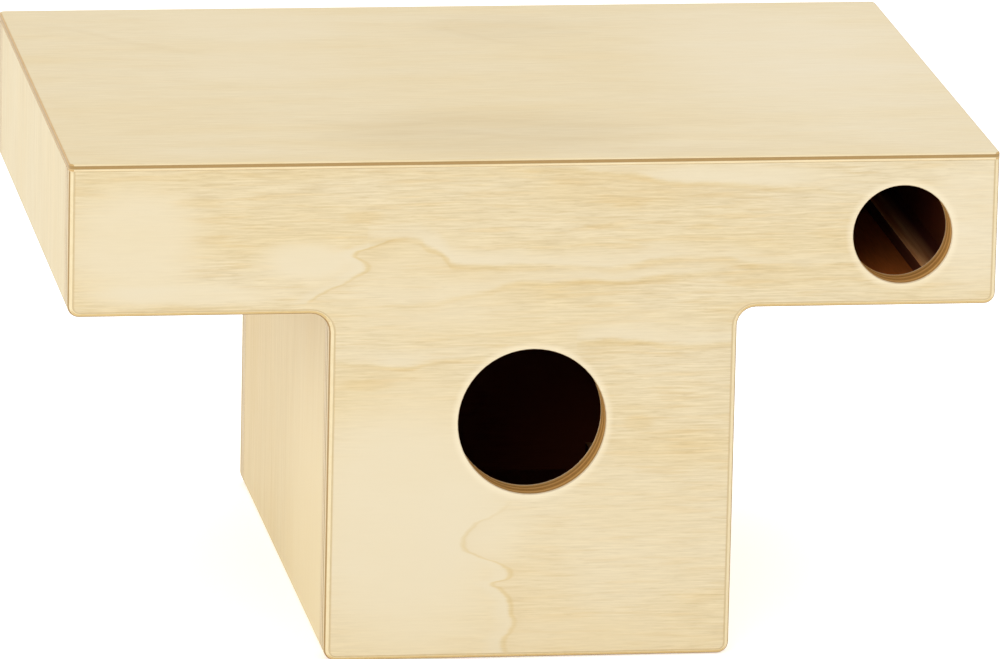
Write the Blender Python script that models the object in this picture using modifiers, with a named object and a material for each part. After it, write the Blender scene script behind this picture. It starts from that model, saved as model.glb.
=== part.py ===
"""Lap cajon: a T-shaped wooden box drum played on its top board.

The leg of the T stands between the player's thighs and the two arms rest on them.
Thick front and back panels carry the T outline. Ends, arm floors, leg sides and a
leg bottom are glued between them, and a thin playing board closes the top.
The front faces -Y, the player's right is +X, and the leg bottom stands on Z = 0.
"""

import math

import bmesh
import bpy

# Overall sizes, in metres
BODY_WIDTH = 0.400
BODY_DEPTH = 0.300
LEG_HEIGHT = 0.1535
ARM_HEIGHT = 0.067
LEG_WIDTH = 0.176

# Plywood thicknesses
FACE_PANEL = 0.015
END_PANEL = 0.015
WALL_PANEL = 0.0065
TOP_BOARD = 0.003

# Space left for the glue between two pieces
GLUE_GAP = 0.0003

# Corners of the T outline and rounded arrises
OUTER_CORNER = 0.005
INNER_CORNER = 0.008
FACE_ARRIS = 0.0028
TOP_ARRIS = 0.0008
PORT_ARRIS = 0.0006

# Sound ports in the front panel
BASS_PORT_RADIUS = 0.032
BASS_PORT_BELOW_ARMS = 0.0486
SIDE_PORT_RADIUS = 0.0215
SIDE_PORT_FROM_END = 0.0415
SIDE_PORT_ABOVE_FLOOR = 0.0035

# Glue battens along the inner corners
ARM_BATTEN_WIDTH = 0.0145
ARM_BATTEN_HEIGHT = 0.0063
LEG_BATTEN_WIDTH = 0.012
LEG_BATTEN_HEIGHT = 0.012

# Snare set under the playing board in the right arm
RAIL_WIDTH = 0.014
RAIL_HEIGHT = 0.012
RAIL_FROM_END = 0.100
RAIL_BELOW_BOARD = 0.0055
PLATE_WIDTH = 0.012
PLATE_THICKNESS = 0.0008
STRAND_COUNT = 8
STRAND_SPACING = 0.007
STRAND_RADIUS = 0.0011
STRAND_SEAT = 0.0025
STRAND_SUNK = 0.0004
STRAND_END_GAP = 0.010
SCREW_SPACING = 0.042
SCREW_SHANK_RADIUS = 0.0015
SCREW_SHANK_LENGTH = 0.009
SCREW_HEAD_RADIUS = 0.0029
SCREW_HEAD_HEIGHT = 0.0016
SCREW_HOLE_CLEARANCE = 0.0003

# The screw head's outline, as shares of its radius and height
SCREW_HEAD_OUTLINE = ((0.6, 1.0), (0.9, 0.65), (1.0, 0.25), (1.0, 0.0))

# Facets
CORNER_STEPS = 6
ARRIS_STEPS = 4
PORT_STEPS = 64
SCREW_STEPS = 20
STRAND_SIDES = 8

# How far a cutter runs past the faces that it cuts
CUT_PAST = 0.004

# Points nearer than this count as level with each other
TINY = 0.00001

# Faces that meet more sharply than this are shaded with a crisp edge
CRISP_EDGE_DEGREES = 25

# Places worked out from the sizes above
BOX_TOP = LEG_HEIGHT + ARM_HEIGHT - TOP_BOARD - GLUE_GAP
FRONT_FACE = -BODY_DEPTH / 2
INNER_DEPTH = BODY_DEPTH - 2 * (FACE_PANEL + GLUE_GAP)
ARM_FLOOR_TOP = LEG_HEIGHT + WALL_PANEL
END_INNER_X = BODY_WIDTH / 2 - END_PANEL
LEG_INNER_X = LEG_WIDTH / 2 - WALL_PANEL
RAIL_X = BODY_WIDTH / 2 - RAIL_FROM_END
RAIL_TOP = BOX_TOP + GLUE_GAP - RAIL_BELOW_BOARD
PLATE_TOP = RAIL_TOP + GLUE_GAP + PLATE_THICKNESS

# Sides of the body along X and along Y
LEFT = -1
RIGHT = 1
FRONT = -1
BACK = 1


def clear_scene():
    for obj in list(bpy.data.objects):
        bpy.data.objects.remove(obj, do_unlink=True)


def new_collection(name):
    collection = bpy.data.collections.new(name)
    bpy.context.scene.collection.children.link(collection)
    return collection


def new_material(name, colour, roughness, metallic=0.0):
    material = bpy.data.materials.new(name)
    material.use_nodes = True
    shader = material.node_tree.nodes["Principled BSDF"]
    shader.inputs["Base Color"].default_value = (*colour, 1.0)
    shader.inputs["Roughness"].default_value = roughness
    shader.inputs["Metallic"].default_value = metallic
    return material


def new_object(name, mesh, collection, material=None):
    obj = bpy.data.objects.new(name, mesh)
    collection.objects.link(obj)
    if material:
        mesh.materials.append(material)
    return obj


def weight_edges(mesh, chosen):
    """Give a full bevel weight to the edges whose two ends both pass the test."""
    weights = mesh.attributes.new("bevel_weight_edge", "FLOAT", "EDGE")
    for edge in mesh.edges:
        ends = [mesh.vertices[index].co for index in edge.vertices]
        weights.data[edge.index].value = 1.0 if chosen(*ends) else 0.0


def add_bevel(obj, width, segments):
    bevel = obj.modifiers.new("rounded_arris", "BEVEL")
    bevel.limit_method = "WEIGHT"
    bevel.width = width
    bevel.segments = segments
    bevel.use_clamp_overlap = True


def add_boolean(obj, other, operation):
    boolean = obj.modifiers.new(other.name, "BOOLEAN")
    boolean.operation = operation
    boolean.solver = "EXACT"
    boolean.object = other


def box_object(name, low, high, collection, material):
    """A board between two corners, its origin at its centre and its scale applied."""
    mesh = bpy.data.meshes.new(name)
    solid = bmesh.new()
    bmesh.ops.create_cube(solid, size=1.0)
    sides = [high[axis] - low[axis] for axis in range(3)]
    bmesh.ops.scale(solid, vec=sides, verts=solid.verts)
    solid.to_mesh(mesh)
    solid.free()
    obj = new_object(name, mesh, collection, material)
    obj.location = [(low[axis] + high[axis]) / 2 for axis in range(3)]
    return obj


def rounded_outline(corners):
    """The points of a closed outline from (x, y, radius) corners, with an arc at each radius."""
    points = []
    count = len(corners)
    for index, (x, y, radius) in enumerate(corners):
        if radius == 0:
            points.append((x, y))
            continue
        before = corners[index - 1]
        after = corners[(index + 1) % count]
        inward = math.atan2(before[1] - y, before[0] - x)
        outward = math.atan2(after[1] - y, after[0] - x)
        half = ((outward - inward + math.pi) % (2 * math.pi) - math.pi) / 2
        reach = radius / math.sin(abs(half))
        middle = inward + half
        centre_x = x + reach * math.cos(middle)
        centre_y = y + reach * math.sin(middle)
        turn = math.pi - 2 * abs(half)
        side = 1 if half > 0 else -1
        first = middle + math.pi + side * turn / 2
        for step in range(CORNER_STEPS + 1):
            angle = first - side * turn * step / CORNER_STEPS
            points.append((centre_x + radius * math.cos(angle), centre_y + radius * math.sin(angle)))
    return points


def flat_panel_mesh(name, outline, thickness):
    """A filled 2D curve of the outline, made a mesh whose two faces are single polygons."""
    curve = bpy.data.curves.new(name + "_outline", "CURVE")
    curve.dimensions = "2D"
    curve.fill_mode = "BOTH"
    curve.extrude = thickness / 2
    spline = curve.splines.new("POLY")
    spline.points.add(len(outline) - 1)
    for point, (x, y) in zip(spline.points, outline):
        point.co = (x, y, 0.0, 1.0)
    spline.use_cyclic_u = True
    guide = bpy.data.objects.new(name + "_outline", curve)
    bpy.context.scene.collection.objects.link(guide)
    bpy.context.view_layer.update()
    evaluated = guide.evaluated_get(bpy.context.evaluated_depsgraph_get())
    mesh = bpy.data.meshes.new_from_object(evaluated)
    bpy.data.objects.remove(guide, do_unlink=True)
    mesh.name = name
    solid = bmesh.new()
    solid.from_mesh(mesh)
    bmesh.ops.remove_doubles(solid, verts=solid.verts, dist=TINY)
    for level in (-thickness / 2, thickness / 2):
        cap = [face for face in solid.faces if all(abs(v.co.z - level) < TINY for v in face.verts)]
        bmesh.ops.dissolve_faces(solid, faces=cap, use_verts=False)
    bmesh.ops.recalc_face_normals(solid, faces=solid.faces)
    solid.to_mesh(mesh)
    solid.free()
    return mesh


def smooth_curves(obj):
    obj.data.shade_smooth()
    obj.data.set_sharp_from_angle(angle=math.radians(CRISP_EDGE_DEGREES))


def t_corners():
    """The T of the front and back panels, from the leg's left foot and round by its right."""
    leg = LEG_WIDTH / 2
    arm = BODY_WIDTH / 2
    return [
        (-leg, 0.0, OUTER_CORNER),
        (leg, 0.0, OUTER_CORNER),
        (leg, LEG_HEIGHT, INNER_CORNER),
        (arm, LEG_HEIGHT, OUTER_CORNER),
        (arm, BOX_TOP, 0.0),
        (-arm, BOX_TOP, 0.0),
        (-arm, LEG_HEIGHT, OUTER_CORNER),
        (-leg, LEG_HEIGHT, INNER_CORNER),
    ]


def make_t_panel(name, y_side, collection, material):
    """A T panel, its outer face's arris rounded all round but along the glued top edge."""
    mesh = flat_panel_mesh(name, rounded_outline(t_corners()), FACE_PANEL)
    outer = -y_side * FACE_PANEL / 2

    def on_outer_arris(first, second):
        on_face = abs(first.z - outer) < TINY and abs(second.z - outer) < TINY
        on_top = abs(first.y - BOX_TOP) < TINY and abs(second.y - BOX_TOP) < TINY
        return on_face and not on_top

    weight_edges(mesh, on_outer_arris)
    panel = new_object(name, mesh, collection, material)
    panel.rotation_euler = (math.radians(90), 0.0, 0.0)
    panel.location = (0.0, y_side * (BODY_DEPTH - FACE_PANEL) / 2, 0.0)
    add_bevel(panel, FACE_ARRIS, ARRIS_STEPS)
    smooth_curves(panel)
    return panel


def turned_object(name, profile, steps, collection, material=None):
    """A profile of (radius, height) points, run down its outer side, turned about local Z."""
    mesh = bpy.data.meshes.new(name)
    points = [(radius, 0.0, height) for radius, height in profile]
    edges = [(index, index + 1) for index in range(len(points) - 1)]
    mesh.from_pydata(points, edges, [])
    obj = new_object(name, mesh, collection, material)
    turn = obj.modifiers.new("turned", "SCREW")
    turn.axis = "Z"
    turn.steps = steps
    turn.render_steps = steps
    turn.use_merge_vertices = True
    turn.merge_threshold = TINY
    turn.use_smooth_shade = True
    return obj


def as_helper(obj):
    """Keep a cutter or a joined shape out of the renders."""
    obj.hide_render = True
    obj.display_type = "WIRE"


def port_cutter(name, radius, x, z, collection):
    """A round cutter that flares at the front face, which rounds the port's arris."""
    mouth = [
        (
            radius + PORT_ARRIS * (1 - math.cos(math.radians(90) * step / ARRIS_STEPS)),
            PORT_ARRIS * (math.sin(math.radians(90) * step / ARRIS_STEPS) - 1),
        )
        for step in range(ARRIS_STEPS, -1, -1)
    ]
    profile = [(0.0, CUT_PAST), (radius + PORT_ARRIS, CUT_PAST)]
    profile += mouth
    profile += [(radius, -FACE_PANEL - CUT_PAST), (0.0, -FACE_PANEL - CUT_PAST)]
    cutter = turned_object(name, profile, PORT_STEPS, collection)
    cutter.rotation_euler = (math.radians(90), 0.0, 0.0)
    cutter.location = (x, FRONT_FACE, z)
    as_helper(cutter)
    return cutter


def make_front_panel(parts, cutters, material):
    panel = make_t_panel("front_panel", FRONT, parts, material)
    bass_z = LEG_HEIGHT - BASS_PORT_BELOW_ARMS
    side_x = BODY_WIDTH / 2 - SIDE_PORT_FROM_END
    side_z = ARM_FLOOR_TOP + SIDE_PORT_ABOVE_FLOOR + SIDE_PORT_RADIUS
    add_boolean(panel, port_cutter("bass_port_cut", BASS_PORT_RADIUS, 0.0, bass_z, cutters), "DIFFERENCE")
    add_boolean(panel, port_cutter("side_port_cut", SIDE_PORT_RADIUS, side_x, side_z, cutters), "DIFFERENCE")


def make_back_panel(parts, material):
    make_t_panel("back_panel", BACK, parts, material)


def round_lower_outer_edge(board, side):
    """Round the board's long lower outer edge, so that it carries on the T panels' corner."""
    lowest = min(vertex.co.z for vertex in board.data.vertices)
    outermost = side * max(abs(vertex.co.x) for vertex in board.data.vertices)

    def on_edge(first, second):
        return all(abs(end.z - lowest) < TINY and abs(end.x - outermost) < TINY for end in (first, second))

    weight_edges(board.data, on_edge)
    add_bevel(board, OUTER_CORNER, CORNER_STEPS)
    smooth_curves(board)


def sided_box(name, side, near_x, far_x, z_low, z_high, collection, material):
    """A board between the T panels, from near_x to far_x away from the middle on one side."""
    low_x, high_x = sorted((side * near_x, side * far_x))
    low = (low_x, -INNER_DEPTH / 2, z_low)
    high = (high_x, INNER_DEPTH / 2, z_high)
    return box_object(name, low, high, collection, material)


def make_arm_end(name, side, parts, material):
    end = sided_box(name, side, END_INNER_X, BODY_WIDTH / 2, LEG_HEIGHT, BOX_TOP, parts, material)
    round_lower_outer_edge(end, side)


def make_arm_floor(name, side, parts, material):
    """The arm floor butts against the leg side's outer face and the arm end's inner face."""
    near_x = LEG_WIDTH / 2 + GLUE_GAP
    far_x = END_INNER_X - GLUE_GAP
    sided_box(name, side, near_x, far_x, LEG_HEIGHT, ARM_FLOOR_TOP, parts, material)


def make_leg_side(name, side, parts, material):
    """The leg side runs from the foot to level with the arm floor's upper face."""
    board = sided_box(name, side, LEG_INNER_X, LEG_WIDTH / 2, 0.0, ARM_FLOOR_TOP, parts, material)
    round_lower_outer_edge(board, side)


def make_leg_bottom(parts, material):
    half_width = LEG_INNER_X - GLUE_GAP
    low = (-half_width, -INNER_DEPTH / 2, 0.0)
    high = (half_width, INNER_DEPTH / 2, WALL_PANEL)
    box_object("leg_bottom", low, high, parts, material)


def make_top_board(parts, material):
    """The thin playing board, flush with the T panels and the arm ends."""
    half_x = BODY_WIDTH / 2
    half_y = BODY_DEPTH / 2
    corners = [
        (-half_x, -half_y, FACE_ARRIS),
        (half_x, -half_y, FACE_ARRIS),
        (half_x, half_y, FACE_ARRIS),
        (-half_x, half_y, FACE_ARRIS),
    ]
    mesh = flat_panel_mesh("top_board", rounded_outline(corners), TOP_BOARD)

    def on_top_arris(first, second):
        return all(abs(end.z - TOP_BOARD / 2) < TINY for end in (first, second))

    weight_edges(mesh, on_top_arris)
    board = new_object("top_board", mesh, parts, material)
    board.location = (0.0, 0.0, BOX_TOP + GLUE_GAP + TOP_BOARD / 2)
    add_bevel(board, TOP_ARRIS, ARRIS_STEPS)
    smooth_curves(board)


def make_arm_batten(name, side, parts, material):
    """A glue batten in the corner between the arm floor and the arm end."""
    far_x = END_INNER_X - GLUE_GAP
    near_x = far_x - ARM_BATTEN_WIDTH
    low_z = ARM_FLOOR_TOP + GLUE_GAP
    sided_box(name, side, near_x, far_x, low_z, low_z + ARM_BATTEN_HEIGHT, parts, material)


def make_leg_batten(name, side, parts, material):
    """A glue batten in the corner between the leg bottom and the leg side."""
    far_x = LEG_INNER_X - GLUE_GAP
    near_x = far_x - LEG_BATTEN_WIDTH
    low_z = WALL_PANEL + GLUE_GAP
    sided_box(name, side, near_x, far_x, low_z, low_z + LEG_BATTEN_HEIGHT, parts, material)


def screw_places():
    """The two plate screws' places along the rail."""
    return {"front": -SCREW_SPACING / 2, "back": SCREW_SPACING / 2}


def screw_hole_cutter(name, y, collection):
    radius = SCREW_SHANK_RADIUS + SCREW_HOLE_CLEARANCE
    top = PLATE_TOP + CUT_PAST
    bottom = PLATE_TOP - SCREW_SHANK_LENGTH - SCREW_HOLE_CLEARANCE
    profile = [(0.0, top), (radius, top), (radius, bottom), (0.0, bottom)]
    cutter = turned_object(name, profile, SCREW_STEPS, collection)
    cutter.location = (RAIL_X, y, 0.0)
    as_helper(cutter)
    return cutter


def make_snare_rail(parts, hole_cutters, material):
    """The wooden rail between the T panels that carries the snare plate under the board."""
    low = (RAIL_X - RAIL_WIDTH / 2, -INNER_DEPTH / 2, RAIL_TOP - RAIL_HEIGHT)
    high = (RAIL_X + RAIL_WIDTH / 2, INNER_DEPTH / 2, RAIL_TOP)
    rail = box_object("snare_rail", low, high, parts, material)
    for cutter in hole_cutters:
        add_boolean(rail, cutter, "DIFFERENCE")


def strand_set(collection):
    """The snare strands as rods, soldered on the plate's edge and rising to just under the board."""
    start_x = RAIL_X + PLATE_WIDTH / 2 - STRAND_SEAT
    start_z = PLATE_TOP + STRAND_RADIUS - STRAND_SUNK
    end_x = END_INNER_X - STRAND_END_GAP
    end_z = BOX_TOP - STRAND_RADIUS
    run = end_x - start_x
    rise = end_z - start_z
    length = math.hypot(run, rise)
    mesh = bpy.data.meshes.new("snare_strands")
    solid = bmesh.new()
    for index in range(STRAND_COUNT):
        made = bmesh.ops.create_cone(
            solid, cap_ends=True, segments=STRAND_SIDES,
            radius1=STRAND_RADIUS, radius2=STRAND_RADIUS, depth=length,
        )
        offset = (index - (STRAND_COUNT - 1) / 2) * STRAND_SPACING
        bmesh.ops.translate(solid, vec=(0.0, offset, 0.0), verts=made["verts"])
    solid.to_mesh(mesh)
    solid.free()
    strands = new_object("snare_strands", mesh, collection)
    strands.rotation_euler = (0.0, math.atan2(run, rise), 0.0)
    strands.location = ((start_x + end_x) / 2, 0.0, (start_z + end_z) / 2)
    as_helper(strands)
    return strands


def make_snare_strip(parts, cutters, hole_cutters, material):
    """The steel plate with the strands joined to it, held on the rail by two screws."""
    plate_length = STRAND_COUNT * STRAND_SPACING
    low = (RAIL_X - PLATE_WIDTH / 2, -plate_length / 2, PLATE_TOP - PLATE_THICKNESS)
    high = (RAIL_X + PLATE_WIDTH / 2, plate_length / 2, PLATE_TOP)
    strip = box_object("snare_strip", low, high, parts, material)
    add_boolean(strip, strand_set(cutters), "UNION")
    for cutter in hole_cutters:
        add_boolean(strip, cutter, "DIFFERENCE")


def make_snare_screw(name, y, parts, material):
    """A pan-head screw: a domed head on a plain shank with a short point."""
    seat = GLUE_GAP
    crown = seat + SCREW_HEAD_HEIGHT
    point = -SCREW_SHANK_LENGTH + SCREW_SHANK_RADIUS
    head = [(SCREW_HEAD_RADIUS * across, seat + SCREW_HEAD_HEIGHT * up) for across, up in SCREW_HEAD_OUTLINE]
    shank = [(SCREW_SHANK_RADIUS, seat), (SCREW_SHANK_RADIUS, point), (0.0, -SCREW_SHANK_LENGTH)]
    profile = [(0.0, crown)] + head + shank
    screw = turned_object(name, profile, SCREW_STEPS, parts, material)
    screw.location = (RAIL_X, y, PLATE_TOP)


def build():
    clear_scene()
    parts = new_collection("lap_cajon")
    cutters = new_collection("lap_cajon_cutters")
    birch = new_material("birch_plywood_lacquered", (0.82, 0.69, 0.41), 0.45)
    board_ply = new_material("playing_board_plywood", (0.81, 0.70, 0.46), 0.42)
    batten_wood = new_material("softwood_batten", (0.60, 0.42, 0.22), 0.7)
    steel = new_material("zinc_plated_steel", (0.55, 0.55, 0.55), 0.35, 1.0)

    make_front_panel(parts, cutters, birch)
    make_back_panel(parts, birch)
    make_leg_bottom(parts, birch)
    make_top_board(parts, board_ply)
    for word, side in (("left", LEFT), ("right", RIGHT)):
        make_arm_end("arm_end_" + word, side, parts, birch)
        make_arm_floor("arm_floor_" + word, side, parts, birch)
        make_leg_side("leg_side_" + word, side, parts, birch)
        make_arm_batten("arm_batten_" + word, side, parts, batten_wood)
        make_leg_batten("leg_batten_" + word, side, parts, batten_wood)

    holes = [screw_hole_cutter("screw_hole_" + word, y, cutters) for word, y in screw_places().items()]
    make_snare_rail(parts, holes, batten_wood)
    make_snare_strip(parts, cutters, holes, steel)
    for word, y in screw_places().items():
        make_snare_screw("snare_screw_" + word, y, parts, steel)


build()
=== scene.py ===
"""A lap cajon dressed for the studio: plywood, glue lines, snare coils, floor, lights and camera."""

import math

import bmesh
import bpy
from mathutils import Matrix, Vector


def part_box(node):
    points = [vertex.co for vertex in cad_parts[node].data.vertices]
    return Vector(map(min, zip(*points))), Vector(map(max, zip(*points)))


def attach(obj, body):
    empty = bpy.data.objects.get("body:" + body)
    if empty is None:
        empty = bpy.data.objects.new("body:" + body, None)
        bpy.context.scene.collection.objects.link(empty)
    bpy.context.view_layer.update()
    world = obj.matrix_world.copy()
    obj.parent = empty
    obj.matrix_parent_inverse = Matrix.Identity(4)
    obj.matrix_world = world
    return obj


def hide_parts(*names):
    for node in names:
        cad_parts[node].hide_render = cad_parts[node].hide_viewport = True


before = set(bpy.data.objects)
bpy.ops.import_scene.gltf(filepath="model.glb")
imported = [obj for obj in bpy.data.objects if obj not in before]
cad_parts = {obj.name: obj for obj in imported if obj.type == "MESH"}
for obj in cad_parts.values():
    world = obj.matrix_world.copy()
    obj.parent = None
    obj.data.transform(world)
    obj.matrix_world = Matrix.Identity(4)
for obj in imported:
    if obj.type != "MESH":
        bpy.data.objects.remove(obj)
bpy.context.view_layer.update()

bl_info = {
    "name": "Lap Cajon Studio",
    "version": (1, 0, 0),
    "blender": (4, 5, 0),
    "location": "3D View > Sidebar > Cajon",
    "description": "Finishes the boards of a lap cajon, fills its glue lines and winds its snares",
    "category": "Object",
}

MM = 0.001
BODY = "root"
AXES = {"X": 0, "Y": 1, "Z": 2}

# Sizes that the frame's own boards give
BOARD_LOW, BOARD_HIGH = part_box("top_board")
PANEL_LOW, PANEL_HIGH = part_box("front_panel")
FLOOR_LOW, FLOOR_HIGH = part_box("arm_floor_right")
END_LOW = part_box("arm_end_right")[0]
SIDE_LOW, SIDE_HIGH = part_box("leg_side_right")
BOTTOM_LOW, BOTTOM_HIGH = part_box("leg_bottom")
RAIL_LOW, RAIL_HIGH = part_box("snare_rail")
STRIP_LOW, STRIP_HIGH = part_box("snare_strip")
SCREW_LOW, SCREW_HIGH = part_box("snare_screw_back")

ARM_HALF = BOARD_HIGH.x
DEPTH_HALF = BOARD_HIGH.y
LEG_HALF = SIDE_HIGH.x
ARM_UNDERSIDE = FLOOR_LOW.z
PANEL_THICKNESS = PANEL_HIGH.y - PANEL_LOW.y
GLUE_GAP = BOARD_LOW.z - PANEL_HIGH.z

# The boards' roundings, as the part's own source has them, and the steps of the arc at a corner
OUTER_CORNER = 5 * MM
INNER_CORNER = 8 * MM
FACE_ARRIS = 2.8 * MM
SHARP_CORNER = 0.2 * MM
CORNER_STEPS = 6

# Joint glue: how far it lies behind the boards' edges, how deep it goes, and its clearance to the boards
GLUE_SUNK = 0.12 * MM
GLUE_DEEP = 6.3 * MM
GLUE_SLACK = 0.02 * MM

# The snare plate, and how its coils lie: what overlaps the plate, what is pressed into it, the free end
PLATE_THICKNESS = 0.8 * MM
PLATE_CORNER = 1 * MM
PLATE_HOLE_RADIUS = 1.8 * MM
PLATE_HOLE_SIDES = 24
COIL_ON_PLATE = 2.6 * MM
COIL_PRESSED_IN = 0.1 * MM
COIL_FREE_END = 1 * MM
COIL_TURN_STEPS = 10
WELD_REACH = 0.01 * MM

# Ply thicknesses in millimetres, from the outer face in, and the width of a glue line between two
PANEL_PLIES = (0.1, 1.0, 1.4, 2.3, 3.2, 2.2, 1.9, 2.0, 0.9)
WALL_PLIES = (0.3, 1.8, 2.1, 1.8, 0.5)
BOARD_PLIES = (0.8, 1.4, 0.8)
GLUE_LINE = 0.15
# Whether the darker inner plies of a board of so many plies are its even or its odd ones
DARK_PLIES = {9: 0, 5: 0, 3: 1}

# sRGB tints that multiply the wood under them: first the veneer's, then those of its cut edges
STREAK_TINT = "ebe8e2"
FLECK_TINT = "f5f3ef"
DASH_TINT = "fcf7ed"
HONEY_TINT = "fdf8ea"
TAN_BAND_TINT = "fbf7f0"
CUT_MOTTLE_TINT = "efe4cd"
# Painted shade on the panels' cut edges along the grain, which face down and up
EDGE_SHADE_TINT = "e2d2ae"
END_GRAIN_TINT = "d2b27a"
# sRGB colours inside the ports, where the hole saw's heat browned all plies but the innermost veneer
SCORCHED_PALE_PLY = "e6b873"
SCORCHED_DARK_PLY = "c08c48"
SCORCH_MOTTLE_TINT = "e8d0a0"
INNER_VENEER = "ffe6bc"
# Multiples of the face, by channel: the sanded mouth of a port, and a bright patch
MOUTH_LIFT = (1.16, 1.2, 1.3)
BRIGHT_LIFT = (1.03, 1.055, 1.13)
# sRGB tints and second colours of the other materials
SUMMER_WOOD_TINT = "d9b184"
PINE_FIBRE_TINT = "dcc5a2"
# Painted shade on every pine face that doesn't face up
SHADED_SIDE_TINT = "6e4a34"
# Painted shade on the arm battens towards the arm ends
END_SHADE_TINT = "6a3a2c"
DUSTY_GLUE = "d8c094"
ZINC_HAZE = "a9adb0"
FLOOR_HAZE = "f6f6f5"

# How far to each side of a growth line its bands reach, and how far lines and patches stray from
# their tables' places along the grain, across it and through the board
LINE_REACH = 12 * MM
FIGURE_DRIFT = (5 * MM, 4 * MM, 0.0)
# How far a seed of 1 moves a noise along each of its axes
SEED_SHIFT = (1.0, 0.37, 1.71)
# How deep the arris of a port's mouth goes
MOUTH_ARRIS = 0.8 * MM
# How far before the arm ends the painted shade on the battens starts, and where it is full
END_SHADE_START = 14 * MM
END_SHADE_FULL = 4 * MM

# What a board's figure is where its own table doesn't say otherwise. Places and reaches are in
# millimetres in the board's own plane, first along the face grain and then across it.
PLAIN_FIGURE = {
    "fibre": 15,  # length of a fibre streak
    "strength": 1.0,  # how strongly streaks, flecks and dashes show
    "honey": 1.0,  # how strongly the honey clouds show
    "calm_and_lit": (),  # patches with fainter streaks on the lifted ground, which on the leg sides are painted light: the place, the two reaches and the amount
    "warm_and_shade": (),  # patches of a warmer, darker tone, given in the same way; on the leg sides they are painted shade
    "bright": (),  # brighter patches
    "lift": (0.95, 0.97, 1.025),  # the calm ground, as a multiple of the face by channel; on the leg sides it is brighter, as painted light
    "warm_tint": "fcf7eb",
    "lines": (),  # growth lines: run, points, pale side and width, as growth_line takes them
    "line_tint": "f3e9cc",
    "bores": (),  # ports: the middle and the radius
    "dull": 0.0,  # how strongly an edge along the grain is darkened: on the panels, painted shade on the edges that face down and up
    "raw": "90481c",  # tint of the unlacquered inner face: painted shade inside the closed drum, darker and browner
}
FRONT_FIGURE = {
    "dull": 0.9,
    "bores": ((0, 104.9, 32), (158.5, 185, 21.5)),
    "calm_and_lit": (
        (-55, 62, 62, 78, 1), (-97, 177, 28, 12, 0.9), (-172, 186, 40, 34, 0.8), (-150, 163, 60, 6, 0.7),
        (188, 188, 34, 44, 0.4), (85, 212, 50, 7, 0.6), (20, 50, 90, 60, 0.25), (0, 8, 110, 14, 0.3),
        (-50, 165, 60, 30, 0.3), (0, 148, 100, 10, 0.2),
    ),
    "bright": ((192, 186, 34, 44, 0.7),),
    "warm_and_shade": (
        (35, 206, 60, 11, 0.7), (10, 14, 36, 22, 0.4), (4, 36, 26, 18, 0.4), (60, 92, 34, 16, 0.5),
        (46, 104, 9, 5, 0.8), (-60, 215, 150, 4, 0.4), (-150, 156, 60, 3.5, 0.6), (-146, 203, 14, 3, 0.8),
        (-74, 196, 12, 3, 0.8), (30, 191, 14, 1.8, 0.8), (72, 189.5, 12, 1.8, 0.7), (-72, 122, 16, 3, 0.9),
    ),
    "lines": (
        (1, ((158, -98, 0), (161.5, -93, 0.8), (165.5, -86, 0.7), (168, -80, 0.6), (170.5, -75.5, 1),
         (173, -72, 1), (176, -72.5, 0.9), (178, -75, 1), (180, -77.5, 1), (182.5, -72, 0.9), (185, -65, 0.6),
         (187, -60, 0)), -1, 1.4),
        (0, ((-72, 184, 0), (-64, 185.5, 0.6), (-54, 185, 0.6), (-47, 182, 0.8), (-42, 179.5, 1),
         (-38, 176, 1), (-33, 173, 1), (-20, 172.8, 1), (0, 173, 0.9), (28, 171.8, 0.9), (43, 173, 0.8),
         (53, 175, 0.8), (75, 175.2, 0.4), (90, 172.6, 0.6), (105, 170.8, 0.5), (140, 171, 0.2),
         (165, 168, 0)), 1, 1.6),
        (0, ((-70, 156, 0), (-50, 157, 0.4), (-35, 159, 0.5), (-20, 162, 0.5), (-5, 165, 0.6),
         (20, 165.8, 0.8), (38, 165.8, 0.8), (52, 167.2, 0.7), (78, 169, 0.4), (95, 168, 0)), 1, 1.4),
        (0, ((-20, 216.5, 0), (10, 215, 0.4), (40, 212, 0.6), (60, 209, 0.8), (80, 208, 0.8),
         (100, 206.5, 0.7), (118, 205, 0.5), (140, 202, 0.3), (165, 199, 0)), 1, 1.4),
        (0, ((-88, 131.5, 0.3), (-72, 130.5, 0.5), (-57, 129.3, 0.9), (-45, 131.3, 0.6), (-35, 132.5, 0.5),
         (-15, 134, 0)), 1, 1.2),
        (0, ((18, 139, 0), (26, 139.3, 0.7), (45, 139.2, 0.9), (62, 137.4, 0.7), (88, 137.6, 0.8)), 1, 1.5),
        (1, ((0, -9.5, 0.7), (5, -10, 0.8), (8, -10.5, 0.9), (12, -8, 0.8), (16, -6, 0.8), (20, -8, 1),
         (25, -8, 1), (29, -10, 1), (32, -13, 1), (33.5, -15, 0.9), (35.5, -9.5, 1), (38, -8, 1),
         (41, -10, 0.9), (43, -14, 0.9), (44.5, -20, 0.9), (47, -25, 1), (50, -28.5, 1), (53, -29, 0.9),
         (56, -27, 0.9), (60, -23, 0.8), (62, -17, 0.6), (66, -12, 0.4), (71, -8, 0)), -1, 1.5),
    ),
}
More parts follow.
